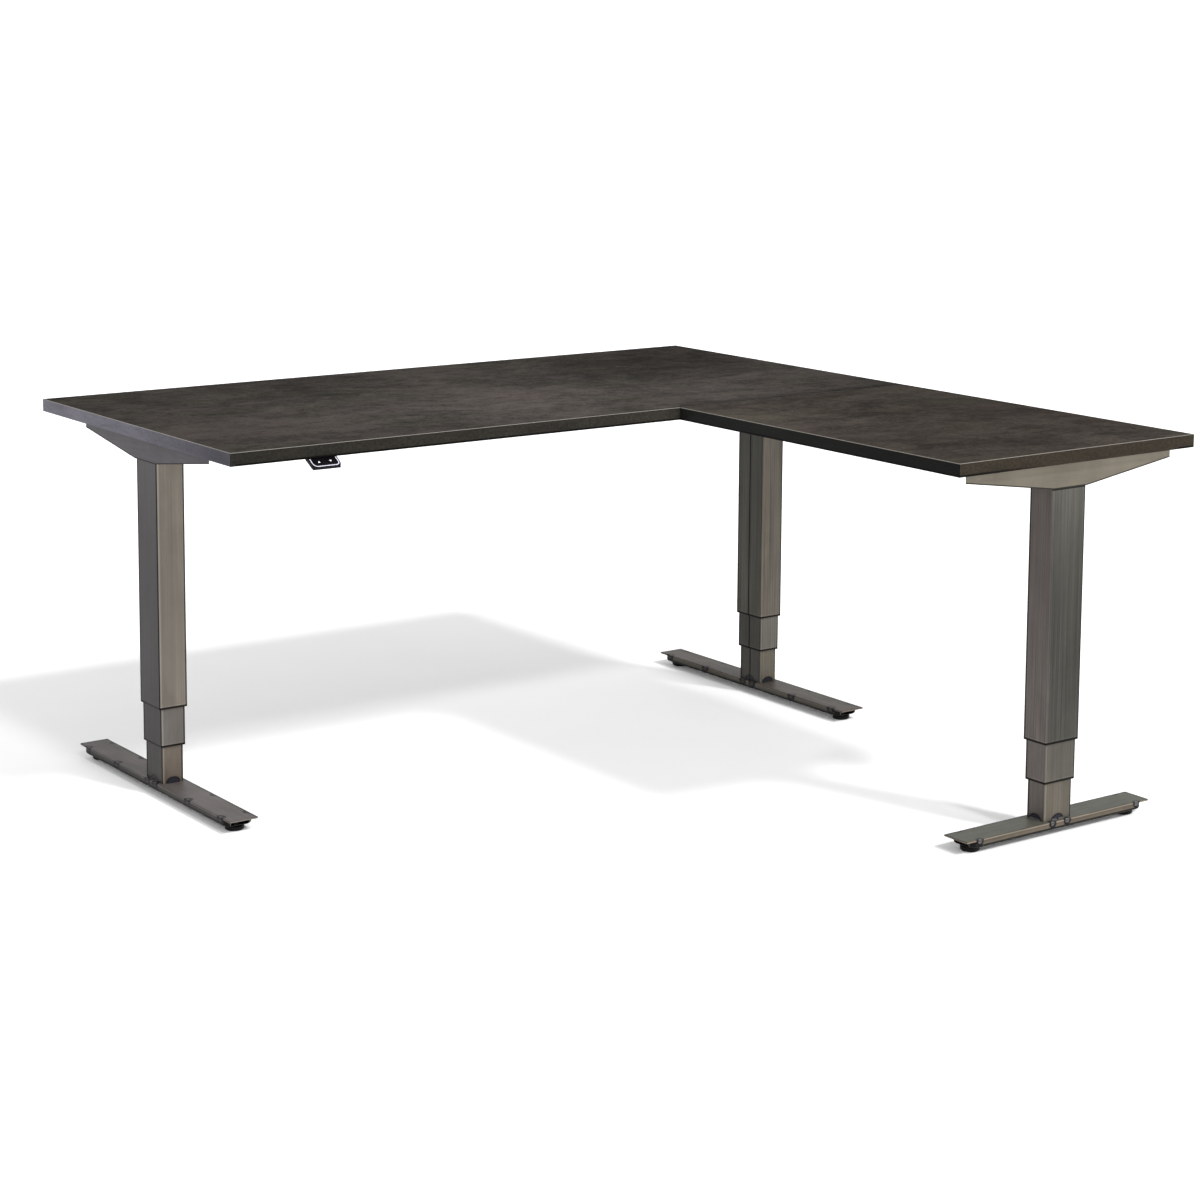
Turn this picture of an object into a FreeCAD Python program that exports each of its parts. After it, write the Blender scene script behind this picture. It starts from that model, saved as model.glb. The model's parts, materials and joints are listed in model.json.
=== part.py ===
# Electric height-adjustable corner desk: two boards on a steel frame with three
# inverted three-stage lifting columns.
# Frame of the model: +Z up, Z = 0 on the floor, X = 0 and Y = 0 at the middle of the
# plan envelope. The main board runs along X behind Y = 0, the return runs towards -Y
# at the +X end. All sizes in millimetres.
import FreeCAD, Part
import os, math
from FreeCAD import Vector as V

os.makedirs("parts", exist_ok=True)

# ------------------------------------------------------------------ driving dimensions
TOP_H = 725.0            # height of the worktop at rest
BOARD_T = 25.0           # board thickness
MAIN_L, MAIN_W = 1600.0, 800.0
RET_L, RET_W = 800.0, 600.0
EDGE_T = 2.0             # edge banding
EDGE_R = 1.2             # arris of the banding

UNDER = TOP_H - BOARD_T  # underside of the boards

# column plan sizes: A across the arm, B along the arm
OUT_A, OUT_B, OUT_T, OUT_R = 58.6, 85.6, 2.0, 3.5
MID_A, MID_B, MID_T, MID_R = 51.4, 78.2, 1.8, 3.0
INN_A, INN_B, INN_T, INN_R = 44.8, 69.8, 1.8, 2.8
OUT_Z0, OUT_Z1 = 175.5, 697.5
MID_Z0, MID_Z1 = 100.0, 560.0
INN_Z0, INN_Z1 = 27.5, 485.0
GROOVE_W, GROOVE_D = 3.0, 0.7   # seam groove on the inward face of every stage

# stage travel, each stage, from rest
STAGE_UP, STAGE_DOWN = 275.0, 50.0

# columns: centre, direction of the arm and foot, direction of the inward face
LEFT = (-739.5, 400.0)
CORNER = (698.5, 354.0)
RETURN = (495.0, -749.5)

# arms under the boards
ARM_L, ARM_D, ARM_TIP, ARM_T, ARM_TOP_T = 520.0, 48.5, 17.0, 2.0, 2.5
ARM_GAP = 0.5
ARM_TIP_IN = 6.0         # depth of the inward web at the tips

# feet
FOOT_W, PLATE_T, FOOT_TOP = 60.0, 3.0, 27.5
CHAN_T, CHAN_Z0, CHAN_R = 2.0, 11.5, 5.0
FOOT_HALF_MAIN, FOOT_HALF_RET = 321.0, 236.0
LIP, CHAN_END_R, MOUTH_W = 14.0, 18.0, 38.0
GLIDE_MAIN, GLIDE_RET = 284.0, 199.0
GLIDE_D, GLIDE_H = 36.0, 10.0
STUD_D = 8.0

# lift screws
SCREW_UP_D, SCREW_LOW_D, SCREW_LOW_BORE = 14.0, 20.0, 15.0
RUN = 0.3                # running gap between parts that move past each other

# rails
RAIL_W, RAIL_H, RAIL_T = 25.0, 30.0, 1.5
RAIL_Y_FRONT, RAIL_Y_BACK = 280.0, 480.0
RAIL_X_LEFT, RAIL_X_RIGHT = 405.0, 585.0
FLANGE_W, FLANGE_T = 60.0, 3.0

# handset
HS_X = -614.0
HS_TILT = 31.0
HS_W = 61.0
HS_T = 6.0               # thickness of the tilted head

# ------------------------------------------------------------------ helpers
Z = V(0, 0, 1)


def box(x0, x1, y0, y1, z0, z1):
    return Part.makeBox(x1 - x0, y1 - y0, z1 - z0, V(x0, y0, z0))


def cyl(r, z0, z1, x=0.0, y=0.0):
    return Part.makeCylinder(r, z1 - z0, V(x, y, z0), Z)


def edges_where(shape, test):
    out = []
    for e in shape.Edges:
        ps = [v.Point for v in e.Vertexes]
        if len(ps) == 2 and test(ps[0], ps[1]):
            out.append(e)
    return out


def near(a, b):
    return abs(a - b) < 1e-4


def vertical(p, q):
    return near(p.x, q.x) and near(p.y, q.y)


def rounded_bar(bx, by, z0, z1, r):
    """Upright bar, bx by by, with rounded vertical corners, centred on the axis."""
    b = box(-bx / 2, bx / 2, -by / 2, by / 2, z0, z1)
    return b.makeFillet(r, edges_where(b, vertical))


def extrude_poly(points, direction):
    return Part.Face(Part.makePolygon(points + [points[0]])).extrude(direction)


def place(shape, centre, turned):
    """Local frame: arm and foot along local Y, inward face on local +X.
    turned: degrees about Z that bring the local frame to the column's own."""
    s = shape.copy()
    s.rotate(V(0, 0, 0), Z, turned)
    s.translate(V(centre[0], centre[1], 0))
    return s


COLUMNS = {"left": (LEFT, 0.0), "corner": (CORNER, 180.0), "return": (RETURN, 90.0)}


def save(name, shapes):
    if not isinstance(shapes, (list, tuple)):
        shapes = [shapes]
    solids = []
    for s in shapes:
        solids += s.Solids
    for s in solids:
        assert s.isValid() and s.Volume > 0.5, name
    out = solids[0] if len(solids) == 1 else Part.makeCompound(solids)
    out.exportStep("parts/%s.step" % name)
    bb = out.BoundBox
    print("%-26s %2d solids  x %8.1f %8.1f  y %8.1f %8.1f  z %7.1f %7.1f  %9.1f cm3" % (
        name, len(solids), bb.XMin, bb.XMax, bb.YMin, bb.YMax, bb.ZMin, bb.ZMax,
        sum(s.Volume for s in solids) / 1000.0))


# ------------------------------------------------------------------ column stages
def stage(a, b, t, r, z0, z1):
    outer = rounded_bar(a, b, z0, z1, r)
    bore = rounded_bar(a - 2 * t, b - 2 * t, z0 - 1, z1 + 1, max(r - t, 0.8))
    groove = box(a / 2 - GROOVE_D, a / 2 + 1, -GROOVE_W / 2, GROOVE_W / 2, z0 - 1, z1 + 1)
    return outer.cut(bore).cut(groove)


def arm_outline(grow_down=0.0, inset=0.0, top=UNDER):
    h, f = ARM_L / 2 - inset, OUT_B / 2
    zb, zt = UNDER - ARM_D - grow_down, UNDER - ARM_TIP - grow_down
    return [V(0, -h, top), V(0, h, top), V(0, h, zt), V(0, f, zb), V(0, -f, zb), V(0, -h, zt)]


ARM_IN = OUT_A / 2 + ARM_GAP          # inner half width of the arm
ARM_OUT = ARM_IN + ARM_T              # outer half width of the arm


def arm(bolt_holes, screw_y):
    def prism(points, half):
        pts = [V(-half, p.y, p.z) for p in points]
        return extrude_poly(pts, V(2 * half, 0, 0))
    outer = prism(arm_outline(), ARM_OUT)
    inner = prism(arm_outline(6.0, -1.0, UNDER - ARM_TOP_T), ARM_IN)
    a = outer.cut(inner)
    # the inward web runs out to nearly nothing at both tips
    for s in (-1, 1):
        h, f = s * (ARM_L / 2 + 1), s * OUT_B / 2
        x = ARM_IN - 0.01
        taper = [V(x, h, UNDER - ARM_TIP_IN), V(x, f, UNDER - ARM_D), V(x, f, UNDER - ARM_D - 10), V(x, h, UNDER - ARM_D - 10)]
        a = a.cut(extrude_poly(taper, V(ARM_T + 1, 0, 0)))
    for y in screw_y:
        for x in (-18.0, 18.0):
            a = a.cut(cyl(2.6, UNDER - ARM_TOP_T - 1, UNDER + 1, x, y))
    for y in bolt_holes:
        a = a.cut(Part.makeCylinder(3.3, ARM_T + 2, V(ARM_IN - 1, y, UNDER - 15.0), V(1, 0, 0)))
    return a


ARM_SCREWS = (-205.0, 205.0)

# outer stages with their welded top caps
for name, (c, turn) in COLUMNS.items():
    tube = stage(OUT_A, OUT_B, OUT_T, OUT_R, OUT_Z0, OUT_Z1)
    cap = rounded_bar(OUT_A - 2 * OUT_T, OUT_B - 2 * OUT_T, OUT_Z1 - 4.0, OUT_Z1, OUT_R - OUT_T)
    tube = tube.fuse(cap)
    save("%s_outer_tube" % name, place(tube.removeSplitter(), c, turn))
    save("%s_middle_tube" % name, place(stage(MID_A, MID_B, MID_T, MID_R, MID_Z0, MID_Z1), c, turn))
    save("%s_inner_tube" % name, place(stage(INN_A, INN_B, INN_T, INN_R, INN_Z0, INN_Z1), c, turn))

# arms: bolt rows are where the rail flanges meet the arm, given along the arm
left_bolts = [y - LEFT[1] for y in (RAIL_Y_FRONT - 20, RAIL_Y_FRONT + 20, RAIL_Y_BACK - 20, RAIL_Y_BACK + 20)]
corner_bolts = [-(y - CORNER[1]) for y in (RAIL_Y_FRONT - 20, RAIL_Y_FRONT + 20, RAIL_Y_BACK - 20, RAIL_Y_BACK + 20)]
return_bolts = [-(x - RETURN[0]) for x in (RAIL_X_LEFT - 20, RAIL_X_LEFT + 20, RAIL_X_RIGHT - 20, RAIL_X_RIGHT + 20)]
save("left_arm", place(arm(left_bolts, ARM_SCREWS), LEFT, 0.0))
save("corner_arm", place(arm(corner_bolts, ARM_SCREWS), CORNER, 180.0))
save("return_arm", place(arm(return_bolts, ARM_SCREWS), RETURN, 90.0))


# ------------------------------------------------------------------ guide pads
def pads(half_a, half_b, ta, tb, z0, z1, inside):
    """Four flat slide pads around a tube. inside: pads on the bore, else on the outside.
    half_a, half_b: half sizes of the faces they are fixed to."""
    out = []
    sa, sb = (-1, -1) if inside else (1, 1)
    for s in (-1, 1):
        x0, x1 = sorted((s * half_a, s * (half_a + sa * ta)))
        # split around the seam groove, which runs up the +X face
        for y0, y1 in ((-22.0, -6.0), (6.0, 22.0)):
            out.append(box(x0, x1, y0, y1, z0, z1))
        y0, y1 = sorted((s * half_b, s * (half_b + sb * tb)))
        out.append(box(-12.0, 12.0, y0, y1, z0, z1))
    return out


PAD_GAP = 0.25
mid_in_a, mid_in_b = MID_A / 2 - MID_T, MID_B / 2 - MID_T
out_in_a, out_in_b = OUT_A / 2 - OUT_T, OUT_B / 2 - OUT_T

inner_pads, outer_pads = [], []
for name, (c, turn) in COLUMNS.items():
    p = pads(INN_A / 2, INN_B / 2, mid_in_a - INN_A / 2 - PAD_GAP, mid_in_b - INN_B / 2 - PAD_GAP, INN_Z1 - 42, INN_Z1 - 2, False)
    inner_pads += [place(s, c, turn) for s in p]
    p = pads(out_in_a, out_in_b, out_in_a - MID_A / 2 - PAD_GAP, out_in_b - MID_B / 2 - PAD_GAP, OUT_Z0 + 3, OUT_Z0 + 43, True)
    outer_pads += [place(s, c, turn) for s in p]
    p = pads(MID_A / 2, MID_B / 2, out_in_a - MID_A / 2 - PAD_GAP, out_in_b - MID_B / 2 - PAD_GAP, MID_Z1 - 42, MID_Z1 - 2, False)
    p += pads(mid_in_a, mid_in_b, mid_in_a - INN_A / 2 - PAD_GAP, mid_in_b - INN_B / 2 - PAD_GAP, MID_Z0 + 3, MID_Z0 + 43, True)
    save("%s_middle_guide_pads" % name, [place(s, c, turn) for s in p])
save("inner_guide_pads", inner_pads)
save("outer_guide_pads", outer_pads)

# ------------------------------------------------------------------ lift screws and drives
GB_Z0, GB_Z1 = 616.0, 640.0         # gearbox
HEAD_D, HEAD_H = 28.0, 6.0          # head of the hollow lower screw
BLK_H = 24.0                        # depth of the bearing block below the tube's end
FL = 4.0                            # flange that rests on the tube's end

low_top = MID_Z1 + FL - 12.0        # top of the lower screw's head
low_z0 = 186.0
up_z0 = 268.0

nuts = []
boxes_, motors = [], []
for name, (c, turn) in COLUMNS.items():
    # bearing block on top of the middle stage, with the upper nut's bore and a seat for
    # the head of the lower screw, held by a retaining ring
    blk = rounded_bar(MID_A - 2 * MID_T - 0.3, MID_B - 2 * MID_T - 0.3, MID_Z1 - BLK_H + FL, MID_Z1, 1.4)
    blk = blk.fuse(rounded_bar(MID_A - 1.0, MID_B - 1.0, MID_Z1, MID_Z1 + FL, MID_R)).removeSplitter()
    blk = blk.cut(cyl(SCREW_UP_D / 2 + RUN, MID_Z1 - 60, MID_Z1 + 60))
    blk = blk.cut(cyl(HEAD_D / 2 + RUN, MID_Z1 - 60, low_top + RUN))
    ring = cyl(HEAD_D / 2 + RUN, low_top - HEAD_H - RUN - 2.5, low_top - HEAD_H - RUN)
    ring = ring.cut(cyl(SCREW_LOW_D / 2 + RUN + 0.2, 0, 700))
    save("%s_bearing_block" % name, [place(blk, c, turn), place(ring, c, turn)])
    low = cyl(SCREW_LOW_D / 2, low_z0, low_top - HEAD_H).fuse(cyl(HEAD_D / 2, low_top - HEAD_H, low_top)).removeSplitter()
    low = low.cut(cyl(SCREW_LOW_BORE / 2, low_z0 - 1, low_top + 1))
    save("%s_lower_screw" % name, place(low, c, turn))
    up = cyl(SCREW_UP_D / 2, up_z0, GB_Z0 + 14.0)
    up = up.makeChamfer(1.0, [e for e in up.Edges if e.Curve.TypeId == "Part::GeomCircle"])
    save("%s_upper_screw" % name, place(up, c, turn))
    # nut in the top of the inner stage
    nut = rounded_bar(INN_A - 2 * INN_T - 0.3, INN_B - 2 * INN_T - 0.3, INN_Z1 - 22, INN_Z1, 1.2)
    nut = nut.fuse(rounded_bar(INN_A - 1.0, INN_B - 1.0, INN_Z1, INN_Z1 + 3.0, INN_R)).removeSplitter()
    nut = nut.cut(cyl(SCREW_LOW_D / 2 + RUN, 400, 500))
    nuts.append(place(nut, c, turn))
    gb = rounded_bar(50.0, 74.0, GB_Z0, GB_Z1, 4.0).cut(cyl(SCREW_UP_D / 2 + RUN, GB_Z0 - 1, GB_Z0 + 14.0 + RUN))
    boxes_.append(place(gb, c, turn))
    m = cyl(23.0, GB_Z1, GB_Z1 + 44.0).fuse(cyl(18.0, GB_Z1 + 44.0, OUT_Z1 - 4.0)).removeSplitter()
    motors.append(place(m, c, turn))
save("lower_screw_nuts", nuts)
save("motor_gearboxes", boxes_)
save("lift_motors", motors)


# ------------------------------------------------------------------ feet
def foot_plate(half):
    p = box(-FOOT_W / 2, FOOT_W / 2, -half, half, FOOT_TOP - PLATE_T, FOOT_TOP)
    es = edges_where(p, vertical)
    p = p.makeFillet(2.0, es)
    es = [e for e in p.Edges if e.BoundBox.ZMin > FOOT_TOP - 1e-3 and e.BoundBox.YLength > 2 * half - 10]
    return p.makeFillet(1.2, es)


def tray(half_w, end, z0, z1, end_r, r):
    """Bar with rounded corners in plan and a rounded lower edge all round."""
    t = box(-half_w, half_w, -end, end, z0, z1)
    t = t.makeFillet(end_r, edges_where(t, vertical))
    return t.makeFillet(r, [e for e in t.Edges if e.BoundBox.ZMax < z0 + 1e-3])


def foot_channel(half, glide):
    end, zt = half - LIP, FOOT_TOP - PLATE_T
    ch = tray(FOOT_W / 2, end, CHAN_Z0, zt, CHAN_END_R, CHAN_R)
    ch = ch.cut(tray(FOOT_W / 2 - CHAN_T, end - CHAN_T, CHAN_Z0 + CHAN_T, zt + 5, CHAN_END_R - CHAN_T, CHAN_R - CHAN_T))
    for s in (-1, 1):
        # the end wall is open over its middle
        y0, y1 = sorted((s * (end - CHAN_END_R + 2.0), s * (end + 1)))
        ch = ch.cut(box(-MOUTH_W / 2, MOUTH_W / 2, y0, y1, CHAN_Z0 + CHAN_T, zt + 5))
        ch = ch.cut(cyl(STUD_D / 2 + 0.5, 0, 20, 0, s * glide))
    return ch


def weld_nut():
    n = Part.makePolygon([V(7.5 * math.cos(math.radians(a)), 7.5 * math.sin(math.radians(a)), CHAN_Z0 + CHAN_T) for a in range(0, 361, 60)])
    n = Part.Face(n).extrude(V(0, 0, 6.5))
    return n.cut(cyl(STUD_D / 2 + RUN, 0, 40))


def tack(x_side, y):
    """Short weld on the joint between foot plate and channel wall, standing off the wall."""
    z = FOOT_TOP - PLATE_T
    c = Part.makeCylinder(1.1, 10.0, V(x_side * FOOT_W / 2, y - 5.0, z), V(0, 1, 0))
    keep = box(FOOT_W / 2, FOOT_W / 2 + 5, -400, 400, 0, 60) if x_side > 0 else box(-FOOT_W / 2 - 5, -FOOT_W / 2, -400, 400, 0, 60)
    return c.common(keep)


def base_fillets():
    """Fillet welds at the foot of the inner tube, one on each face."""
    out, g = [], 2.6
    for s in (-1, 1):
        x = s * INN_A / 2
        out.append(extrude_poly([V(x, -15, INN_Z0), V(x + s * g, -15, INN_Z0), V(x, -15, INN_Z0 + g)], V(0, 13.0, 0)))
        out.append(extrude_poly([V(x, 2, INN_Z0), V(x + s * g, 2, INN_Z0), V(x, 2, INN_Z0 + g)], V(0, 13.0, 0)))
        y = s * INN_B / 2
        out.append(extrude_poly([V(-13, y, INN_Z0), V(-13, y + s * g, INN_Z0), V(-13, y, INN_Z0 + g)], V(26.0, 0, 0)))
    return out


FOOT = {
    "left": (FOOT_HALF_MAIN, GLIDE_MAIN, (-284.0, -152.0, -16.0, 16.0, 152.0, 284.0)),
    "corner": (FOOT_HALF_MAIN, GLIDE_MAIN, (-284.0, -152.0, -16.0, 16.0, 152.0, 284.0)),
    "return": (FOOT_HALF_RET, GLIDE_RET, (-203.0, -19.0, 19.0, 203.0)),
}
welds, weld_nuts = [], []
for name, (c, turn) in COLUMNS.items():
    half, g, tacks = FOOT[name]
    save("%s_foot_plate" % name, place(foot_plate(half), c, turn))
    save("%s_foot_channel" % name, place(foot_channel(half, g), c, turn))
    welds += [place(tack(s, y), c, turn) for s in (-1, 1) for y in tacks]
    welds += [place(s, c, turn) for s in base_fillets()]
    for s in (-1, 1):
        n = weld_nut()
        n.translate(V(0, s * g, 0))
        weld_nuts.append(place(n, c, turn))
save("foot_weld_beads", welds)
save("glide_weld_nuts", weld_nuts)


def glide():
    r = GLIDE_D / 2
    prof = [V(0, 0, 0), V(r - 2.5, 0, 0), V(r, 0, 2.5), V(r, 0, GLIDE_H - 2.0), V(r - 2.0, 0, GLIDE_H),
            V(8.0, 0, GLIDE_H), V(8.0, 0, CHAN_Z0), V(STUD_D / 2, 0, CHAN_Z0), V(STUD_D / 2, 0, 20.0), V(0, 0, 20.0)]
    f = Part.Face(Part.makePolygon(prof + [prof[0]]))
    return f.revolve(V(0, 0, 0), Z, 360)


GLIDES = {
    "left_front_glide": ("left", -1), "left_back_glide": ("left", 1),
    "corner_front_glide": ("corner", 1), "corner_back_glide": ("corner", -1),
    "return_left_glide": ("return", 1), "return_right_glide": ("return", -1),
}
for gname, (name, s) in GLIDES.items():
    c, turn = COLUMNS[name]
    g = glide()
    g.translate(V(0, s * FOOT[name][1], 0))
    save(gname, place(g, c, turn))


# ------------------------------------------------------------------ rails
def rail_along_x(x0, x1, y):
    o = box(x0 + FLANGE_T, x1 - FLANGE_T, y - RAIL_W / 2, y + RAIL_W / 2, UNDER - RAIL_H, UNDER)
    i = box(x0 + FLANGE_T - 1, x1 - FLANGE_T + 1, y - RAIL_W / 2 + RAIL_T, y + RAIL_W / 2 - RAIL_T, UNDER - RAIL_H + RAIL_T, UNDER - RAIL_T)
    r = o.cut(i)
    for xa, xb in ((x0, x0 + FLANGE_T), (x1 - FLANGE_T, x1)):
        f = box(xa, xb, y - FLANGE_W / 2, y + FLANGE_W / 2, UNDER - RAIL_H, UNDER)
        for d in (-20.0, 20.0):
            f = f.cut(Part.makeCylinder(3.3, 10, V(xa - 3, y + d, UNDER - 15.0), V(1, 0, 0)))
        r = r.fuse(f)
    return r.removeSplitter()


def rail_along_y(y0, y1, x):
    r = rail_along_x(y0, y1, 0.0)
    r.rotate(V(0, 0, 0), Z, 90.0)
    r.translate(V(x, 0, 0))
    return r


def tapped(r, xs, y, depth):
    for x in xs:
        r = r.cut(Part.makeCylinder(3.3, depth, V(x, y - depth / 2, UNDER - 15.0), V(0, 1, 0)))
    return r


x_left, x_right = LEFT[0] + ARM_OUT, CORNER[0] - ARM_OUT
front = rail_along_x(x_left, x_right, RAIL_Y_FRONT)
joint_y = RAIL_Y_FRONT - RAIL_W / 2
joint_x = [x + d for x in (RAIL_X_LEFT, RAIL_X_RIGHT) for d in (-20.0, 20.0)]
front = tapped(front, joint_x, joint_y, 6.0)
back = rail_along_x(x_left, x_right, RAIL_Y_BACK)
save("main_rails", [front, back])
y_ret = RETURN[1] + ARM_OUT
save("return_rails", [rail_along_y(y_ret, joint_y, RAIL_X_LEFT), rail_along_y(y_ret, joint_y, RAIL_X_RIGHT)])


def bolt(p, d, grip):
    """Hex-flange bolt: head against the face at p, shank along d."""
    d = V(*d)
    head = Part.makeCylinder(5.5, 4.0, p - d * 4.0, d)
    shank = Part.makeCylinder(3.0, grip, p, d)
    return head.fuse(shank).removeSplitter()


bolts = []
zb = UNDER - 15.0
for y in (RAIL_Y_FRONT - 20, RAIL_Y_FRONT + 20, RAIL_Y_BACK - 20, RAIL_Y_BACK + 20):
    bolts.append(bolt(V(LEFT[0] + ARM_IN, y, zb), (1, 0, 0), ARM_T + FLANGE_T + 5))
    bolts.append(bolt(V(CORNER[0] - ARM_IN, y, zb), (-1, 0, 0), ARM_T + FLANGE_T + 5))
for x in (RAIL_X_LEFT - 20, RAIL_X_LEFT + 20, RAIL_X_RIGHT - 20, RAIL_X_RIGHT + 20):
    bolts.append(bolt(V(x, RETURN[1] + ARM_IN, zb), (0, 1, 0), ARM_T + FLANGE_T + 5))
for x in joint_x:
    bolts.append(bolt(V(x, joint_y - FLANGE_T, zb), (0, 1, 0), FLANGE_T + 8))
save("frame_bolts", bolts)

# ------------------------------------------------------------------ screws into the boards
# each: x, y, z of the seat under the head, so the head hangs below it
SCREW_IN = 15.0
seats = []
for c, turn in (COLUMNS["left"], COLUMNS["corner"], COLUMNS["return"]):
    for y in ARM_SCREWS:
        for x in (-18.0, 18.0):
            p = V(x, y, 0)
            p = FreeCAD.Rotation(Z, turn).multVec(p) + V(c[0], c[1], 0)
            seats.append((p.x, p.y, UNDER - ARM_TOP_T))
PLATE_X = (300.0, 690.0)
for x in PLATE_X:
    for dx in (-18.0, 18.0):
        for dy in (-45.0, 45.0):
            seats.append((x + dx, dy, UNDER - 3.0))
BOX_X0, BOX_X1, BOX_Y0, BOX_Y1, BOX_H = -130.0, 130.0, 322.0, 438.0, 36.0
for x in (BOX_X0 - 9.0, BOX_X1 + 9.0):
    for y in (BOX_Y0 + 25.0, BOX_Y1 - 25.0):
        seats.append((x, y, UNDER - 2.5))
for x in (HS_X - 20.0, HS_X + 20.0):
    seats.append((x, 50.0, UNDER - 5.0))


def screw(x, y, z):
    head = cyl(4.0, z - 2.6, z, x, y)
    return head.fuse(cyl(2.0, z, UNDER + SCREW_IN, x, y)).removeSplitter()


save("desktop_screws", [screw(*s) for s in seats])


# ------------------------------------------------------------------ boards
def board(x0, x1, y0, y1):
    b = box(x0 + EDGE_T, x1 - EDGE_T, y0 + EDGE_T, y1 - EDGE_T, UNDER, TOP_H)
    for x, y, z in seats:
        if x0 < x < x1 and y0 < y < y1:
            b = b.cut(cyl(2.2, UNDER - 1, UNDER + SCREW_IN + 0.5, x, y))
    return b


def edging(x0, x1, y0, y1):
    """Four banding strips; the long ones cover the ends of the short ones."""
    strips = []
    for ya, yb, yo in ((y0, y0 + EDGE_T, y0), (y1 - EDGE_T, y1, y1)):
        s = box(x0, x1, ya, yb, UNDER, TOP_H)
        es = edges_where(s, lambda p, q: (near(p.y, yo) and near(q.y, yo)) or (near(p.x, q.x) and near(p.z, q.z)))
        strips.append(s.makeFillet(EDGE_R, es))
    for xa, xb, xo in ((x0, x0 + EDGE_T, x0), (x1 - EDGE_T, x1, x1)):
        s = box(xa, xb, y0 + EDGE_T, y1 - EDGE_T, UNDER, TOP_H)
        es = edges_where(s, lambda p, q: near(p.x, xo) and near(q.x, xo) and near(p.z, q.z))
        strips.append(s.makeFillet(EDGE_R, es))
    return strips


MX0, MX1 = -MAIN_L / 2, MAIN_L / 2
save("desktop_main", board(MX0, MX1, 0.0, MAIN_W))
save("desktop_main_edging", edging(MX0, MX1, 0.0, MAIN_W))
save("desktop_return", board(MX1 - RET_W, MX1, -RET_L, 0.0))
save("desktop_return_edging", edging(MX1 - RET_W, MX1, -RET_L, 0.0))

plates = []
for x in PLATE_X:
    p = box(x - 30, x + 30, -60, 60, UNDER - 3.0, UNDER)
    p = p.makeFillet(6.0, edges_where(p, vertical))
    for dx in (-18.0, 18.0):
        for dy in (-45.0, 45.0):
            p = p.cut(cyl(2.4, 600, 800, x + dx, dy))
    plates.append(p)
save("joining_plates", plates)

# ------------------------------------------------------------------ control box
W = 2.0
case = box(BOX_X0, BOX_X1, BOX_Y0, BOX_Y1, UNDER - BOX_H, UNDER - 2.5)
case = case.makeFillet(4.0, edges_where(case, lambda p, q: vertical(p, q) or (near(p.z, UNDER - BOX_H) and near(q.z, UNDER - BOX_H))))
case = case.cut(box(BOX_X0 + W, BOX_X1 - W, BOX_Y0 + W, BOX_Y1 - W, UNDER - BOX_H + W, UNDER))
# openings for the mains inlet, three motor sockets and the handset socket
SOCK = [(341.0, 27.5, 20.0), (366.0, 13.0, 14.0), (384.0, 13.0, 14.0), (402.0, 13.0, 14.0), (420.0, 12.0, 10.0)]
zc = UNDER - BOX_H + 16.0
for y, w, h in SOCK:
    case = case.cut(box(BOX_X1 - W - 1, BOX_X1 + 1, y - w / 2, y + w / 2, zc - h / 2, zc + h / 2))
save("control_box_case", case)
lid = box(BOX_X0 - 18, BOX_X1 + 18, BOX_Y0, BOX_Y1, UNDER - 2.5, UNDER)
lid = lid.makeFillet(5.0, edges_where(lid, vertical))
for x in (BOX_X0 - 9.0, BOX_X1 + 9.0):
    for y in (BOX_Y0 + 25.0, BOX_Y1 - 25.0):
        lid = lid.cut(cyl(2.4, 600, 800, x, y))
save("control_box_lid", lid)
zpcb = UNDER - BOX_H + W + 3.0
pcb = box(BOX_X0 + 6, BOX_X1 - 16, BOX_Y0 + 6, BOX_Y1 - 6, zpcb, zpcb + 1.6)
board_parts = [pcb, box(BOX_X0 + 20, BOX_X0 + 90, 345, 415, zpcb + 1.6, zpcb + 25.0),
               cyl(9.0, zpcb + 1.6, zpcb + 23.0, 10.0, 350.0), cyl(9.0, zpcb + 1.6, zpcb + 23.0, 35.0, 350.0)]
for k, x in enumerate((-5.0, 22.0, 49.0)):
    board_parts.append(box(x, x + 19, 395, 410, zpcb + 1.6, zpcb + 17.0))
for x in (BOX_X0 + 12, BOX_X1 - 22):
    for y in (BOX_Y0 + 12, BOX_Y1 - 12):
        board_parts.append(cyl(3.0, UNDER - BOX_H + W, zpcb, x, y))
for y, w, h in SOCK:
    s = box(BOX_X1 - 15.5, BOX_X1 - 0.3, y - w / 2 + 0.2, y + w / 2 - 0.2, zc - h / 2 + 0.2, zc + h / 2 - 0.2)
    s = s.cut(box(BOX_X1 - 11.0, BOX_X1 + 1, y - w / 2 + 2.0, y + w / 2 - 2.0, zc - h / 2 + 2.0, zc + h / 2 - 2.0))
    if w > 20:      # three contact blades of the mains inlet
        for d, dz in ((-7.0, -1.5), (0.0, 2.5), (7.0, -1.5)):
            s = s.fuse(box(BOX_X1 - 11.0, BOX_X1 - 6.0, y + d - 1.0, y + d + 1.0, zc + dz - 2.0, zc + dz + 2.0))
    board_parts.append(s)
save("control_board", board_parts)

# ------------------------------------------------------------------ handset
hs_place = FreeCAD.Placement(V(HS_X, 0.0, UNDER - 0.5), FreeCAD.Rotation(V(1, 0, 0), HS_TILT))
FACE_L = 24.5            # slope length of the face


def on_face(shape):
    s = shape.copy()
    s.Placement = hs_place.multiply(s.Placement)
    return s


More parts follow.
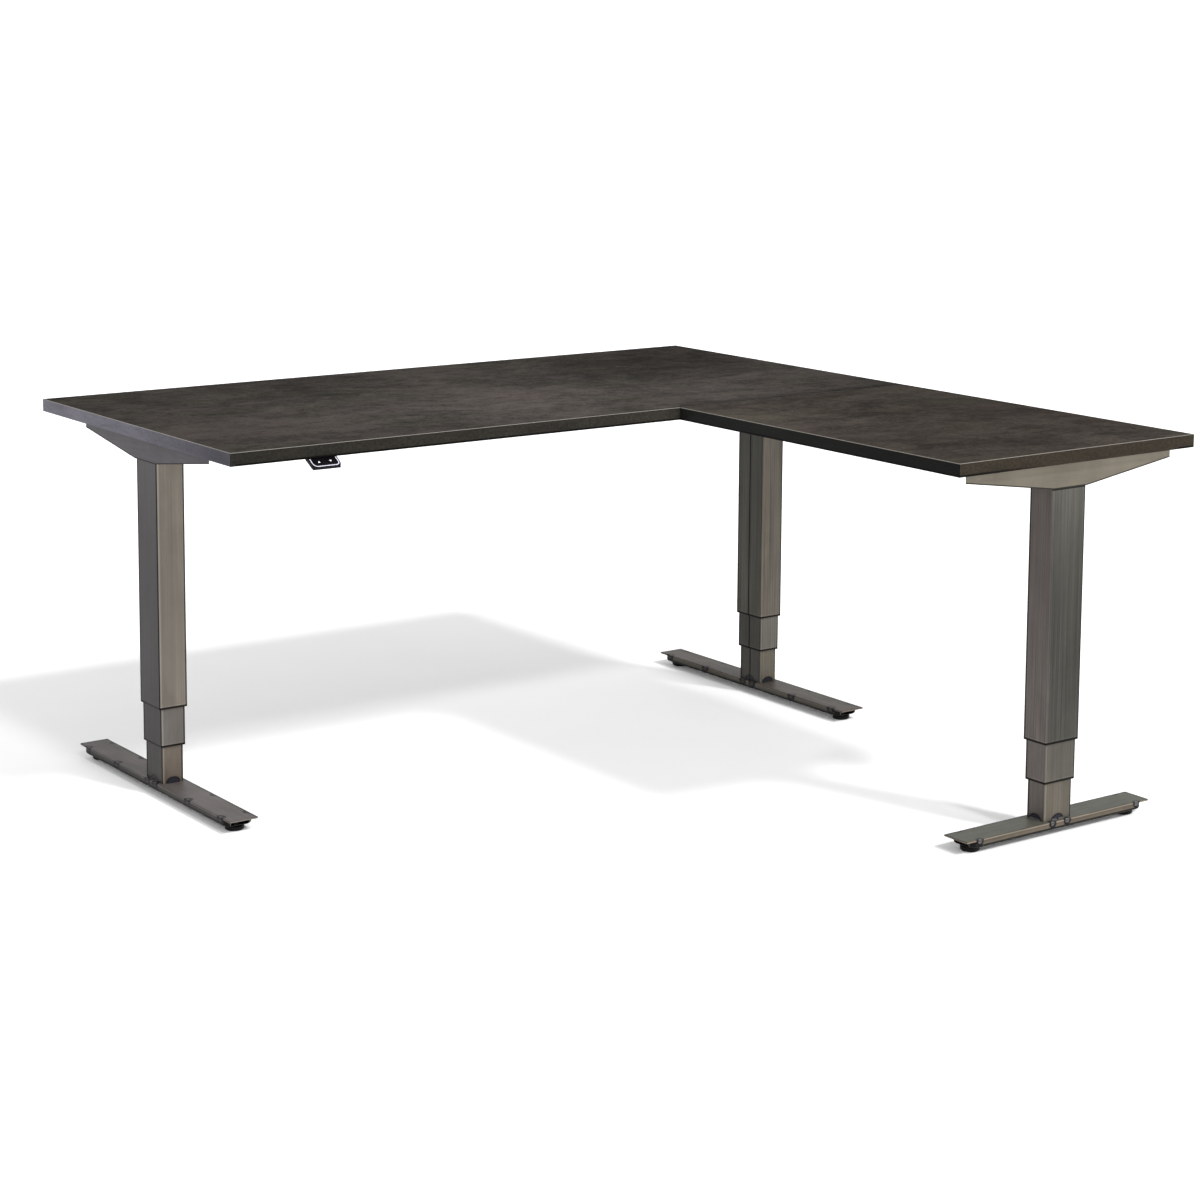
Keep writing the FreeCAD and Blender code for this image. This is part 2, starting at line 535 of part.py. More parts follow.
ct, st = math.cos(math.radians(HS_TILT)), math.sin(math.radians(HS_TILT))
yf, zf = -FACE_L * ct, UNDER - 0.5 - FACE_L * st
yl, zl = yf + HS_T * st, zf - HS_T * ct      # lower edge of the head
ym = 10.3                                    # where the head's underside meets the foot
zm = zl + (ym - yl) * st / ct
prof = [V(0, 2.0, UNDER), V(0, 62.0, UNDER), V(0, 62.0, UNDER - 11.3), V(0, ym, zm), V(0, yl, zl),
        V(0, yf, zf), V(0, 0.0, UNDER - 0.5), V(0, 1.0, UNDER - 0.2)]
body = extrude_poly([V(-HS_W, p.y, p.z) for p in prof], V(2 * HS_W, 0, 0))
h = HS_W / 2
plan = [V(-h, 70, 600), V(-h, 6, 600), V(-h + 1.0, yf - 2.0, 600), V(h - 1.0, yf - 2.0, 600), V(h, 6, 600), V(h, 70, 600)]
plan = extrude_poly(plan, V(0, 0, 200))
plan = plan.makeFillet(11.0, edges_where(plan, lambda p, q: vertical(p, q) and p.y < 0))
hs = body.common(plan)
hs = hs.common(box(-h, h, yf - 5, 62.0, 600, 800))
# neck between the head and the foot that is screwed to the board
neck = [V(-12, -6.0, UNDER - 8.5), V(-12, 45.0, UNDER - 8.0), V(-12, 45.0, UNDER - 1.0), V(-12, 2.0, UNDER - 1.0), V(-12, -6.0, UNDER - 5.0)]
hs = hs.fuse(extrude_poly(neck, V(24, 0, 0))).removeSplitter()
hs.translate(V(HS_X, 0, 0))
# room for the circuit board, open towards the desktop's underside
hs = hs.cut(box(HS_X - 13.5, HS_X + 13.5, 35.0, 59.0, UNDER - 5.1, UNDER + 1))
for s in (-1, 1):
    hs = hs.cut(cyl(2.4, 600, 800, HS_X + s * 20.0, 50.0))
    hs = hs.cut(cyl(4.6, 600, UNDER - 5.0, HS_X + s * 20.0, 50.0))
KEY_W, KEY_L, KEY_T, KEY_UP, KEY_TRAVEL = 11.0, 10.4, 3.2, 0.4, 1.0
KEY_X = 12.0
KEY_Y = -10.4            # middle of the keys down the slope
for s in (-1, 1):
    p = box(s * KEY_X - KEY_W / 2 - RUN, s * KEY_X + KEY_W / 2 + RUN, KEY_Y - KEY_L / 2 - RUN, KEY_Y + KEY_L / 2 + RUN, -(KEY_T - KEY_UP) - KEY_TRAVEL - 0.4, 5.0)
    hs = hs.cut(on_face(p))
save("handset_case", hs)
for nm, s in (("button_up", -1), ("button_down", 1)):
    k = box(s * KEY_X - KEY_W / 2, s * KEY_X + KEY_W / 2, KEY_Y - KEY_L / 2, KEY_Y + KEY_L / 2, -(KEY_T - KEY_UP), KEY_UP)
    k = k.makeFillet(1.0, edges_where(k, vertical))
    save(nm, on_face(k))
# U-shaped bright trim line around the face
tw, tr = 1.7, 9.0
h2 = HS_W / 2 - 3.2


def u_outline(half, low, r):
    a = Part.makeLine(V(-half, -0.6, 0), V(-half, low + r, 0))
    b = Part.Arc(V(-half, low + r, 0), V(-half + r * (1 - math.sqrt(0.5)), low + r * (1 - math.sqrt(0.5)), 0), V(-half + r, low, 0)).toShape()
    c = Part.makeLine(V(-half + r, low, 0), V(half - r, low, 0))
    d = Part.Arc(V(half - r, low, 0), V(half - r * (1 - math.sqrt(0.5)), low + r * (1 - math.sqrt(0.5)), 0), V(half, low + r, 0)).toShape()
    e = Part.makeLine(V(half, low + r, 0), V(half, -0.6, 0))
    return [a, b, c, d, e]


lo_out = -FACE_L + 1.7
outer_u = Part.Wire(u_outline(h2, lo_out, tr) + [Part.makeLine(V(h2, -0.6, 0), V(-h2, -0.6, 0))])
inner_u = Part.Wire(u_outline(h2 - tw, lo_out + tw, tr - tw) + [Part.makeLine(V(h2 - tw, -0.6, 0), V(-h2 + tw, -0.6, 0))])
u = Part.Face(outer_u).extrude(V(0, 0, 0.3)).cut(Part.Face(inner_u).extrude(V(0, 0, 0.3)))
save("handset_trim", on_face(u))
hp = box(HS_X - 12.5, HS_X + 12.5, 36.0, 58.0, UNDER - 5.1, UNDER - 3.5)
conn = box(HS_X - 6, HS_X + 6, 48.0, 57.5, UNDER - 3.5, UNDER - 0.4)
save("handset_circuit_board", [hp, conn])
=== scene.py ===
import json
import math

import bmesh
import bpy
from mathutils import Matrix, Vector

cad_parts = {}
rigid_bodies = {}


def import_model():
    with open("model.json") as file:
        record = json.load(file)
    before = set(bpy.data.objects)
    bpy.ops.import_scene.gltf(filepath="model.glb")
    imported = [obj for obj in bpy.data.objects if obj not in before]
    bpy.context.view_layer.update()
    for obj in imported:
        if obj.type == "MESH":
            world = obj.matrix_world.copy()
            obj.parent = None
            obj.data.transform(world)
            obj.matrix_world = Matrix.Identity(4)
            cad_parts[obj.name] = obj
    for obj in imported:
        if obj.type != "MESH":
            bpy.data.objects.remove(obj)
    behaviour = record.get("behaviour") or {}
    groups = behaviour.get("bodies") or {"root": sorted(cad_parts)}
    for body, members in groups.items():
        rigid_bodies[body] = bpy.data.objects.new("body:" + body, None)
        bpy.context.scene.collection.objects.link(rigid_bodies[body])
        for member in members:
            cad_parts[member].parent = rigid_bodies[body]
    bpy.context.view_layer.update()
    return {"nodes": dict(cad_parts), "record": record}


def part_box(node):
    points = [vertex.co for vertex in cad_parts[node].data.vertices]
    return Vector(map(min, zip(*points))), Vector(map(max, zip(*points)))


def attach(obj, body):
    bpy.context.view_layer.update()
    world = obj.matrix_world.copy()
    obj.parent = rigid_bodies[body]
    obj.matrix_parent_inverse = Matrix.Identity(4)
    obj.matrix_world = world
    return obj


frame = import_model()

scene = bpy.context.scene
scene.view_settings.view_transform = "Standard"
scene.view_settings.look = "None"
scene.view_settings.exposure = 0.0
scene.view_settings.gamma = 1.0

# ---------------------------------------------------------------- camera
YAW, TILT, ROLL = math.radians(35.790), math.radians(7.420), math.radians(0.357)
LENS, SHIFT_Y = 79.03, -0.200
EYE = Vector((-2.9549, -4.1030, 1.4927))
fwd = Vector((math.sin(YAW) * math.cos(TILT), math.cos(YAW) * math.cos(TILT), -math.sin(TILT)))
right = Vector((math.cos(YAW), -math.sin(YAW), 0.0))
up = right.cross(fwd)
r2 = right * math.cos(ROLL) + up * math.sin(ROLL)
u2 = -right * math.sin(ROLL) + up * math.cos(ROLL)
cam_data = bpy.data.cameras.new("camera")
cam = bpy.data.objects.new("camera", cam_data)
bpy.context.collection.objects.link(cam)
m = Matrix((r2, u2, -fwd)).transposed().to_4x4()
m.translation = EYE
cam.matrix_world = m
cam_data.sensor_width = 36.0
cam_data.lens = LENS
cam_data.shift_y = SHIFT_Y
cam_data.clip_start = 0.05
cam_data.clip_end = 500.0
scene.camera = cam


# ---------------------------------------------------------------- tones, sRGB
# steel: faces that look along Y, along X, and up. These face tones are painted light and shade: lit and shaded copies
# of one steel per face direction and per part.
TONE = {
    "laminate_main": ((38, 37, 34), (64, 60, 56)),
    "laminate_return": ((39, 36, 33), (63, 59, 53)),
    # front and back, far end, near end, line along the arris. The face tones are painted light and shade per face
    # direction, and the line along the arris is a painted highlight.
    "edge_main": ((34, 32, 28), (40, 38, 34), (89, 87, 95), (146, 141, 134, 0.72)),
    "edge_return": ((41, 36, 29), (40, 36, 31), (17, 17, 16), (146, 141, 134, 0.72)),
    "left_outer_tube": ((112, 106, 98), (59, 56, 57), (80, 76, 70)),
    "left_middle_tube": ((93, 89, 85), (54, 52, 53), (80, 76, 70)),
    "left_inner_tube": ((96, 88, 80), (56, 55, 53), (80, 76, 70)),
    "corner_outer_tube": ((89, 84, 77), (61, 60, 55), (80, 76, 70)),
    "corner_middle_tube": ((97, 94, 88), (62, 61, 58), (80, 76, 70)),
    "corner_inner_tube": ((92, 87, 78), (62, 60, 57), (80, 76, 70)),
    "return_outer_tube": ((66, 65, 61), (82, 77, 75), (80, 76, 70)),
    "return_middle_tube": ((84, 81, 75), (88, 83, 80), (80, 76, 70)),
    "return_inner_tube": ((88, 83, 75), (81, 76, 73), (80, 76, 70)),
    "left_foot_plate": ((98, 94, 90), (80, 77, 74), (78, 73, 72)),
    "corner_foot_plate": ((98, 90, 84), (78, 72, 67), (68, 63, 58)),
    "return_foot_plate": ((114, 105, 94), (90, 84, 76), (71, 71, 64)),
    "left_foot_channel": ((98, 94, 90), (78, 75, 72), (60, 58, 55)),
    "corner_foot_channel": ((92, 88, 80), (76, 73, 66), (60, 56, 52)),
    "return_foot_channel": ((92, 84, 74), (90, 84, 76), (60, 58, 52)),
    "left_arm": ((100, 97, 99), (67, 65, 68), (90, 88, 88)),
    "corner_arm": ((90, 86, 82), (66, 64, 62), (80, 76, 72)),
    "return_arm": ((112, 106, 95), (90, 86, 80), (90, 86, 80)),
}


# ---------------------------------------------------------------- node helpers
def lin(c):
    """sRGB 0..255 to linear."""
    out = []
    for v in c:
        v = v / 255.0
        out.append(v / 12.92 if v <= 0.04045 else ((v + 0.055) / 1.055) ** 2.4)
    return tuple(out) + (1.0,)


class Tree:
    def __init__(self, name):
        self.mat = bpy.data.materials.new(name)
        self.mat.use_nodes = True
        self.nt = self.mat.node_tree
        self.nt.nodes.clear()
        self.out = self.nt.nodes.new("ShaderNodeOutputMaterial")
        self.bsdf = self.nt.nodes.new("ShaderNodeBsdfPrincipled")
        self.nt.links.new(self.bsdf.outputs["BSDF"], self.out.inputs["Surface"])
        tc = self.nt.nodes.new("ShaderNodeTexCoord")
        self.co = tc.outputs["Object"]
        self._normal = None

    def put(self, sock, v):
        if isinstance(v, bpy.types.NodeSocket):
            self.nt.links.new(v, sock)
        elif isinstance(v, (tuple, list)) and len(v) == 4 and sock.type != "RGBA":
            sock.default_value = v[:3]
        else:
            sock.default_value = v

    def math(self, op, a, b=0.0, c=0.0, clamp=False):
        n = self.nt.nodes.new("ShaderNodeMath")
        n.operation = op
        n.use_clamp = clamp
        for k, v in enumerate((a, b, c)):
            self.put(n.inputs[k], v)
        return n.outputs[0]

    def vmath(self, op, a, b=None):
        n = self.nt.nodes.new("ShaderNodeVectorMath")
        n.operation = op
        self.put(n.inputs[0], a)
        if b is not None:
            self.put(n.inputs[1], b)
        return n.outputs["Value"] if op in ("LENGTH", "DISTANCE", "DOT_PRODUCT") else n.outputs["Vector"]

    def sep(self, v):
        n = self.nt.nodes.new("ShaderNodeSeparateXYZ")
        self.put(n.inputs[0], v)
        return n.outputs[0], n.outputs[1], n.outputs[2]

    def comb(self, x, y, z):
        n = self.nt.nodes.new("ShaderNodeCombineXYZ")
        for k, v in enumerate((x, y, z)):
            self.put(n.inputs[k], v)
        return n.outputs[0]

    def scaled(self, v, s, offset=(0.0, 0.0, 0.0)):
        n = self.nt.nodes.new("ShaderNodeMapping")
        self.put(n.inputs["Vector"], v)
        n.inputs["Location"].default_value = offset
        n.inputs["Scale"].default_value = s
        return n.outputs[0]

    def noise(self, v, scale=1.0, detail=3.0, rough=0.55, dist=0.0):
        n = self.nt.nodes.new("ShaderNodeTexNoise")
        n.noise_dimensions = "3D"
        self.put(n.inputs["Vector"], v)
        n.inputs["Scale"].default_value = scale
        n.inputs["Detail"].default_value = detail
        n.inputs["Roughness"].default_value = rough
        n.inputs["Distortion"].default_value = dist
        return n.outputs["Fac"]

    def ramp(self, fac, stops, mode="LINEAR"):
        n = self.nt.nodes.new("ShaderNodeValToRGB")
        self.put(n.inputs[0], fac)
        n.color_ramp.interpolation = mode
        e = n.color_ramp.elements
        while len(e) < len(stops):
            e.new(0.5)
        for k, (p, c) in enumerate(stops):
            e[k].position = p
            e[k].color = c if len(c) == 4 else tuple(c) + (1.0,)
        return n.outputs["Color"]

    def profile(self, v, points, how="B_SPLINE"):
        """Factor along v through the given (v, factor) points, all factors below 1.6."""
        lo, hi = points[0][0], points[-1][0]
        n = self.nt.nodes.new("ShaderNodeMapRange")
        self.put(n.inputs["Value"], v)
        n.inputs["From Min"].default_value = lo
        n.inputs["From Max"].default_value = hi
        c = self.ramp(n.outputs[0], [((p - lo) / (hi - lo), (f / 1.6, f / 1.6, f / 1.6)) for p, f in points], how)
        return self.math("MULTIPLY", self.sep(c)[0], 1.6)

    def smooth(self, v, lo, hi, a=0.0, b=1.0):
        n = self.nt.nodes.new("ShaderNodeMapRange")
        n.interpolation_type = "SMOOTHSTEP"
        self.put(n.inputs["Value"], v)
        n.inputs["From Min"].default_value = lo
        n.inputs["From Max"].default_value = hi
        n.inputs["To Min"].default_value = a
        n.inputs["To Max"].default_value = b
        return n.outputs[0]

    def mix(self, fac, a, b, mode="MIX"):
        n = self.nt.nodes.new("ShaderNodeMix")
        n.data_type = "RGBA"
        n.blend_type = mode
        n.clamp_factor = True
        self.put(n.inputs[0], fac)
        self.put(n.inputs[6], a)
        self.put(n.inputs[7], b)
        return n.outputs[2]

    def times(self, col, f):
        n = self.nt.nodes.new("ShaderNodeVectorMath")
        n.operation = "SCALE"
        self.put(n.inputs[0], col)
        self.put(n.inputs["Scale"], f)
        return n.outputs["Vector"]

    def normal(self):
        if self._normal is None:
            g = self.nt.nodes.new("ShaderNodeNewGeometry")
            self._normal = self.sep(g.outputs["Normal"])
        return self._normal

    def bump(self, height, strength, distance):
        n = self.nt.nodes.new("ShaderNodeBump")
        n.inputs["Strength"].default_value = strength
        n.inputs["Distance"].default_value = distance
        self.put(n.inputs["Height"], height)
        self.nt.links.new(n.outputs["Normal"], self.bsdf.inputs["Normal"])

    def set(self, **kw):
        names = {"color": "Base Color", "metal": "Metallic", "rough": "Roughness", "spec": "Specular IOR Level",
                 "coat": "Coat Weight", "coat_rough": "Coat Roughness", "ior": "IOR"}
        for k, v in kw.items():
            self.put(self.bsdf.inputs[names[k]], v)


def box_of(node):
    lo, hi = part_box(node)
    return Vector(lo), Vector(hi)


def centre_of(node):
    lo, hi = box_of(node)
    return (lo + hi) / 2


def give(node, mat):
    o = frame["nodes"][node]
    if not o.material_slots:
        o.data.materials.append(mat)
    for s in o.material_slots:
        s.material = mat


# ---------------------------------------------------------------- desktop laminate
def laminate(name, dark, light, seed, patches, side, reach):
    """Dark stone-effect laminate: soft clouds, wiped streaks, clusters of small dark flecks, fine grain.
    dark, light: its two tones. patches: wide lighter or darker areas. side, reach: darkening along the seam."""
    t = Tree(name)
    x, y, z = t.sep(t.co)
    warp = t.noise(t.scaled(t.co, (2.2, 2.2, 1.0), (seed, 2.0, 0.0)), 1.0, 4, 0.6)
    co = t.comb(t.math("MULTIPLY_ADD", warp, 0.30, x), t.math("MULTIPLY_ADD", warp, -0.22, y), z)
    cloud = t.noise(t.scaled(co, (2.3, 3.2, 1.0), (seed, 0.0, 0.0)), 1.0, 6, 0.58, 0.3)
    mid = t.noise(t.scaled(co, (10.0, 14.0, 4.0), (0.0, seed, 0.0)), 1.0, 7, 0.66, 0.6)
    wipe = t.noise(t.scaled(co, (4.0, 26.0, 4.0), (seed, seed, 0.0)), 1.0, 4, 0.6, 0.3)
    small = t.noise(t.scaled(t.co, (48.0, 60.0, 20.0), (seed, 0.0, 0.0)), 1.0, 5, 0.7, 0.4)
    fine = t.noise(t.scaled(t.co, (330.0, 330.0, 60.0)), 1.0, 3, 0.7)
    where = t.noise(t.scaled(t.co, (3.0, 4.0, 1.0), (seed + 7.0, 0, 0)), 1.0, 3, 0.6)
    grit = t.noise(t.scaled(t.co, (120.0, 150.0, 40.0), (0.0, 0.0, seed)), 1.0, 4, 0.7)
    f = t.math("MULTIPLY", cloud, 0.70)
    f = t.math("MULTIPLY_ADD", mid, 0.75, f)
    f = t.math("MULTIPLY_ADD", wipe, 0.28, f)
    f = t.math("MULTIPLY_ADD", small, 0.62, f)
    f = t.math("MULTIPLY_ADD", grit, 0.40, f)
    f = t.math("SUBTRACT", f, 0.875)
    col = t.mix(t.smooth(f, 0.20, 0.80), lin(dark), lin(light))
    col = t.times(col, t.smooth(fine, 0.25, 0.75, 0.80, 1.20))
    fleck = t.math("MULTIPLY", t.smooth(small, 0.30, 0.40, 1.0, 0.0), t.smooth(where, 0.45, 0.60))
    col = t.mix(t.math("MULTIPLY", fleck, 0.40), col, t.times(col, 0.35))
    violet = t.noise(t.scaled(co, (5.0, 7.0, 1.0), (0.0, 0.0, seed)), 1.0, 3, 0.5)
    col = t.mix(t.smooth(violet, 0.35, 0.65, 0.0, 1.0), col, t.vmath("MULTIPLY", col, (1.02, 0.985, 1.05)))
    k = None
    for px, py, rx, ry, amount in patches:
        d = t.vmath("LENGTH", t.scaled(t.vmath("SUBTRACT", t.comb(t.math("MULTIPLY_ADD", warp, 0.25, x), t.math("MULTIPLY_ADD", warp, 0.25, y), 0.0),
                                               (px + 0.125, py + 0.125, 0.0)), (1 / rx, 1 / ry, 1.0)))
        g = t.smooth(d, 0.0, 1.0, amount, 0.0)
        k = t.math("ADD", g, 1.0 if k is None else k)
    col = t.times(col, k)
    near = t.math("MULTIPLY", t.smooth(t.math("MULTIPLY", y, side), reach, 0.003), t.smooth(x, 0.19, 0.24))
    col = t.times(col, t.math("MULTIPLY_ADD", near, -0.30, 1.0))
    t.set(color=col, rough=t.smooth(mid, 0.3, 0.7, 0.55, 0.70), spec=0.0)
    t.bump(t.math("MULTIPLY_ADD", small, 0.6, fine), 0.2, 0.0002)
    return t.mat


def edging(name, front, end, inner, line, seed, base, along_front=None, along_end=None):
    """Edge banding printed like the boards, with a lighter line where the arris catches the light."""
    t = Tree(name)
    nx, ny, nz = t.normal()
    along = t.noise(t.scaled(t.co, (9.0, 9.0, 40.0), (seed, 0, 0)), 1.0, 6, 0.65, 0.3)
    grain = t.noise(t.scaled(t.co, (170.0, 170.0, 190.0)), 1.0, 4, 0.7)
    ex = t.math("GREATER_THAN", t.math("ABSOLUTE", nx), 0.7)
    ax = t.math("LESS_THAN", nx, -0.7)
    x, y, z = t.sep(t.co)
    front, inner = lin(front), lin(inner)
    if along_front:
        front = t.times(front, t.profile(x, along_front))
    if along_end:
        inner = t.times(inner, t.profile(y, along_end))
    # painted light and shade: each face direction of the banding gets its own lit or shaded tone
    col = t.mix(ex, front, lin(end))
    col = t.mix(ax, col, inner)
    col = t.times(col, t.smooth(along, 0.25, 0.75, 0.80, 1.20))
    speck = t.math("MULTIPLY_ADD", ax, -0.22, 0.42)
    col = t.times(col, t.math("MULTIPLY_ADD", t.smooth(grain, 0.25, 0.75, -1.0, 1.0), speck, 1.0))
    seam = t.math("MULTIPLY", t.math("LESS_THAN", t.math("ABSOLUTE", y), 0.0026), t.math("GREATER_THAN", x, 0.2005))
    rim = t.math("MULTIPLY", t.smooth(nz, 0.25, 0.50), t.smooth(nz, 0.985, 0.93))
    rim = t.math("MULTIPLY", rim, t.math("SUBTRACT", line[3], t.math("MULTIPLY", seam, line[3])))
    # painted highlight line on the arrises towards -X and -Y; the arrises towards +X and +Y carry a painted dark line
    # instead
    away = t.math("MAXIMUM", t.smooth(nx, 0.05, 0.15), t.smooth(ny, 0.05, 0.15))
    col = t.mix(t.math("MULTIPLY", rim, t.math("SUBTRACT", 1.0, away)), col, lin(line[:3]))
    col = t.mix(t.math("MULTIPLY", rim, away), col, lin((16, 15, 14)))
    col = t.mix(t.math("MULTIPLY", seam, 0.7), col, lin((16, 15, 14)))
    # painted shade: a dark line along the banding's lower edge and on its underside, and dark lines on the upright
    # rounded corners
    low = t.math("MAXIMUM", t.smooth(z, base + 0.0048, base + 0.0034), t.smooth(nz, -0.12, -0.3))
    low = t.math("MULTIPLY", low, t.math("GREATER_THAN", x, -0.79))
    clear = t.math("MULTIPLY", t.math("LESS_THAN", y, -0.79), t.math("MULTIPLY", t.smooth(x, 0.25, 0.45), t.math("LESS_THAN", x, 0.757)))
    low = t.math("MULTIPLY", low, t.math("SUBTRACT", 1.0, clear))
    turn = t.smooth(t.math("MAXIMUM", t.math("MAXIMUM", t.math("ABSOLUTE", nx), t.math("ABSOLUTE", ny)), t.math("ABSOLUTE", nz)), 0.93, 0.84)
    turn = t.math("MULTIPLY", turn, t.math("LESS_THAN", t.math("ABSOLUTE", nz), 0.1))
    col = t.times(col, t.math("MULTIPLY_ADD", t.math("MAXIMUM", low, turn), -0.88, 1.0))
    t.set(color=col, rough=t.smooth(grain, 0.2, 0.8, 0.45, 0.60), spec=0.05)
    t.bump(grain, 0.2, 0.0002)
    return t.mat


give("desktop_main", laminate("laminate_main", TONE["laminate_main"][0], TONE["laminate_main"][1], 3.1,
                              [(0.03, 0.20, 0.95, 0.60, 0.42), (0.62, 0.66, 0.55, 0.42, -0.26), (-0.60, 0.72, 0.5, 0.2, -0.10)], 1.0, 0.042))
# the patch at the return's near right corner, (0.76, -0.80), is a painted highlight
give("desktop_return", laminate("laminate_return", TONE["laminate_return"][0], TONE["laminate_return"][1], 8.7,
                                [(0.22, -0.12, 0.45, 0.40, 0.30), (0.76, -0.80, 0.35, 0.22, 0.40), (0.70, -0.35, 0.35, 0.45, -0.12)], -1.0, 0.010))
give("desktop_main_edging", edging("edge_main", *TONE["edge_main"], 1.0, box_of("desktop_main")[0].z,
                                   ((-0.8, 0.80), (-0.45, 1.0), (0.0, 1.15), (0.18, 1.45), (0.8, 1.0)),
                                   ((0.0, 0.42), (0.10, 0.52), (0.35, 0.98), (0.8, 1.0))))
give("desktop_return_edging", edging("edge_return", *TONE["edge_return"], 5.0, box_of("desktop_main")[0].z,
                                     None, ((-0.8, 0.71), (-0.67, 0.81), (-0.52, 1.00), (-0.33, 1.16), (-0.12, 1.24), (0.0, 1.32))))


# ---------------------------------------------------------------- raw steel under clear lacquer
def steel(name, face_y, face_x, face_z, streak=(1.0, 1.0, 0.012), seed=0.0, contrast=1.0, lines=1.0,
          fade=None, marks=None, tints=None, ends=None, dark_inside=None, metal=0.55, rough=0.42,
          shade_y=None, shade_x=None, groove=None, arris=0.6, rim=None, nugget=None, hem=None, under=None, lip=None, plate=None):
    """face_y, face_x, face_z: tone of faces that look along that axis. streak: how the rolling marks are
    drawn out. fade: points (z, factor) up a wall. marks: welds on a foot; tints: heat at a tube's foot."""
    t = Tree(name)
    nx, ny, nz = t.normal()
    x, y, z = t.sep(t.co)
    ax, ay, az = t.math("ABSOLUTE", nx), t.math("ABSOLUTE", ny), t.math("ABSOLUTE", nz)
    tone_y, tone_x = lin(face_y), lin(face_x)
    if shade_y:
        tone_y = t.times(tone_y, t.profile(z, shade_y))
    if shade_x:
        tone_x = t.times(tone_x, t.profile(z, shade_x))
    # painted light and shade: faces along Y, along X and up get their own lit or shaded tone, and shade_y, shade_x vary
    # it up the height
    col = t.mix(t.smooth(ax, 0.35, 0.85), tone_y, tone_x)
    col = t.mix(t.smooth(az, 0.35, 0.85), col, lin(face_z))
    s = streak
    broad = t.noise(t.scaled(t.co, (38 * s[0], 38 * s[1], 38 * s[2]), (seed, seed * 2, 0.0)), 1.0, 4, 0.6)
    fine = t.noise(t.scaled(t.co, (230 * s[0], 230 * s[1], 230 * s[2]), (0.0, seed, seed)), 1.0, 5, 0.7)
    hair = t.noise(t.scaled(t.co, (900 * s[0], 900 * s[1], 500 * s[2])), 1.0, 2, 0.5)
    line = t.noise(t.scaled(t.co, (300 * s[0], 300 * s[1], 100 * s[2]), (seed, seed, 2.0)), 1.0, 1, 0.5)
    blot = t.noise(t.scaled(t.co, (11.0, 11.0, 5.0), (seed, 0.0, seed)), 1.0, 6, 0.62, 0.4)
    warm = t.noise(t.scaled(t.co, (24 * s[0], 24 * s[1], 24 * s[2]), (seed + 4.0, 0.0, 0.0)), 1.0, 3, 0.5)
    k = contrast
    col = t.times(col, t.smooth(broad, 0.28, 0.72, 1 - 0.20 * k, 1 + 0.20 * k))
    col = t.times(col, t.smooth(fine, 0.30, 0.70, 1 - 0.22 * lines, 1 + 0.22 * lines))
    col = t.times(col, t.smooth(hair, 0.3, 0.7, 1 - 0.07 * lines, 1 + 0.07 * lines))
    col = t.times(col, t.smooth(line, 0.30, 0.38, 1 - 0.26 * lines, 1.0))
    col = t.times(col, t.smooth(line, 0.64, 0.72, 1.0, 1 + 0.24 * lines))
    # painted shade: arrises are darker, and the tubes' long corners carry painted dark lines and a painted highlight
    # line
    flat = t.math("MAXIMUM", t.math("MAXIMUM", ax, ay), az)
    col = t.times(col, t.smooth(flat, 0.94, 0.86, 1.0, arris))
    dull = None
    if rim:
        cx, cy, hx, hy, outer, dark, light, wide = rim
        u, v = t.math("SUBTRACT", x, cx), t.math("SUBTRACT", y, cy)
        a = t.math("SUBTRACT", hx, t.math("ABSOLUTE", u))
        b = t.math("SUBTRACT", hy, t.math("ABSOLUTE", v))
        back, far = t.math("GREATER_THAN", v, 0.0), t.math("GREATER_THAN", u, 0.0)
        on_x = t.math("MULTIPLY", t.smooth(a, 0.0013, 0.0009), t.smooth(t.math("MULTIPLY_ADD", back, -wide, b), 0.0046, 0.0036))
        on_y = t.math("MULTIPLY", t.smooth(b, 0.0013, 0.0009), t.smooth(a, 0.0050, 0.0040))
        fx = t.math("MULTIPLY_ADD", back, outer - dark, dark)
        fy = t.math("MULTIPLY_ADD", far, outer - light, light)
        # metal is turned down under the painted dark lines so they stay dark
        dull = t.math("MAXIMUM", t.math("MULTIPLY", on_x, back), t.math("MULTIPLY", on_y, far))
        col = t.times(col, t.math("MULTIPLY_ADD", on_x, t.math("SUBTRACT", fx, 1.0), 1.0))
        col = t.times(col, t.math("MULTIPLY_ADD", on_y, t.math("SUBTRACT", fy, 1.0), 1.0))
    col = t.times(col, t.smooth(blot, 0.25, 0.75, 0.86, 1.14))
    col = t.mix(t.smooth(warm, 0.45, 0.72, 0.0, 0.5 * k), col, t.vmath("MULTIPLY", col, (1.10, 1.0, 0.86)))
    col = t.mix(t.smooth(warm, 0.55, 0.30, 0.0, 0.5 * k), col, t.vmath("MULTIPLY", col, (0.94, 0.99, 1.06)))
    if fade:
        # painted light and shade down a wall, near-black along its lower edge
        down = t.profile(z, fade, "LINEAR")
        if lip:
            # painted highlight: the sheared ends are painted bright and stay out of the painted shade
            end = t.math("GREATER_THAN", ay if lip == "y" else ax, 0.7)
            down = t.math("MAXIMUM", down, t.math("MULTIPLY", end, 1.3))
            dull = t.math("MULTIPLY", t.smooth(down, 0.30, 0.15), t.math("SUBTRACT", 1.0, end))
        col = t.times(col, down)
    if plate:
        # painted shade: a dark line along the far edges of a plate's top
        px, py = plate
        a = t.math("SUBTRACT", px, x)
        b = t.math("SUBTRACT", py, y)
        far_edge_shade = t.math("MAXIMUM", t.smooth(a, 0.0048, 0.0036), t.smooth(b, 0.0048, 0.0036))
        far_edge_shade = t.math("MULTIPLY", far_edge_shade, t.math("GREATER_THAN", nz, 0.3))
        col = t.times(col, t.math("MULTIPLY_ADD", far_edge_shade, -0.86, 1.0))
        dull = far_edge_shade
    if hem:
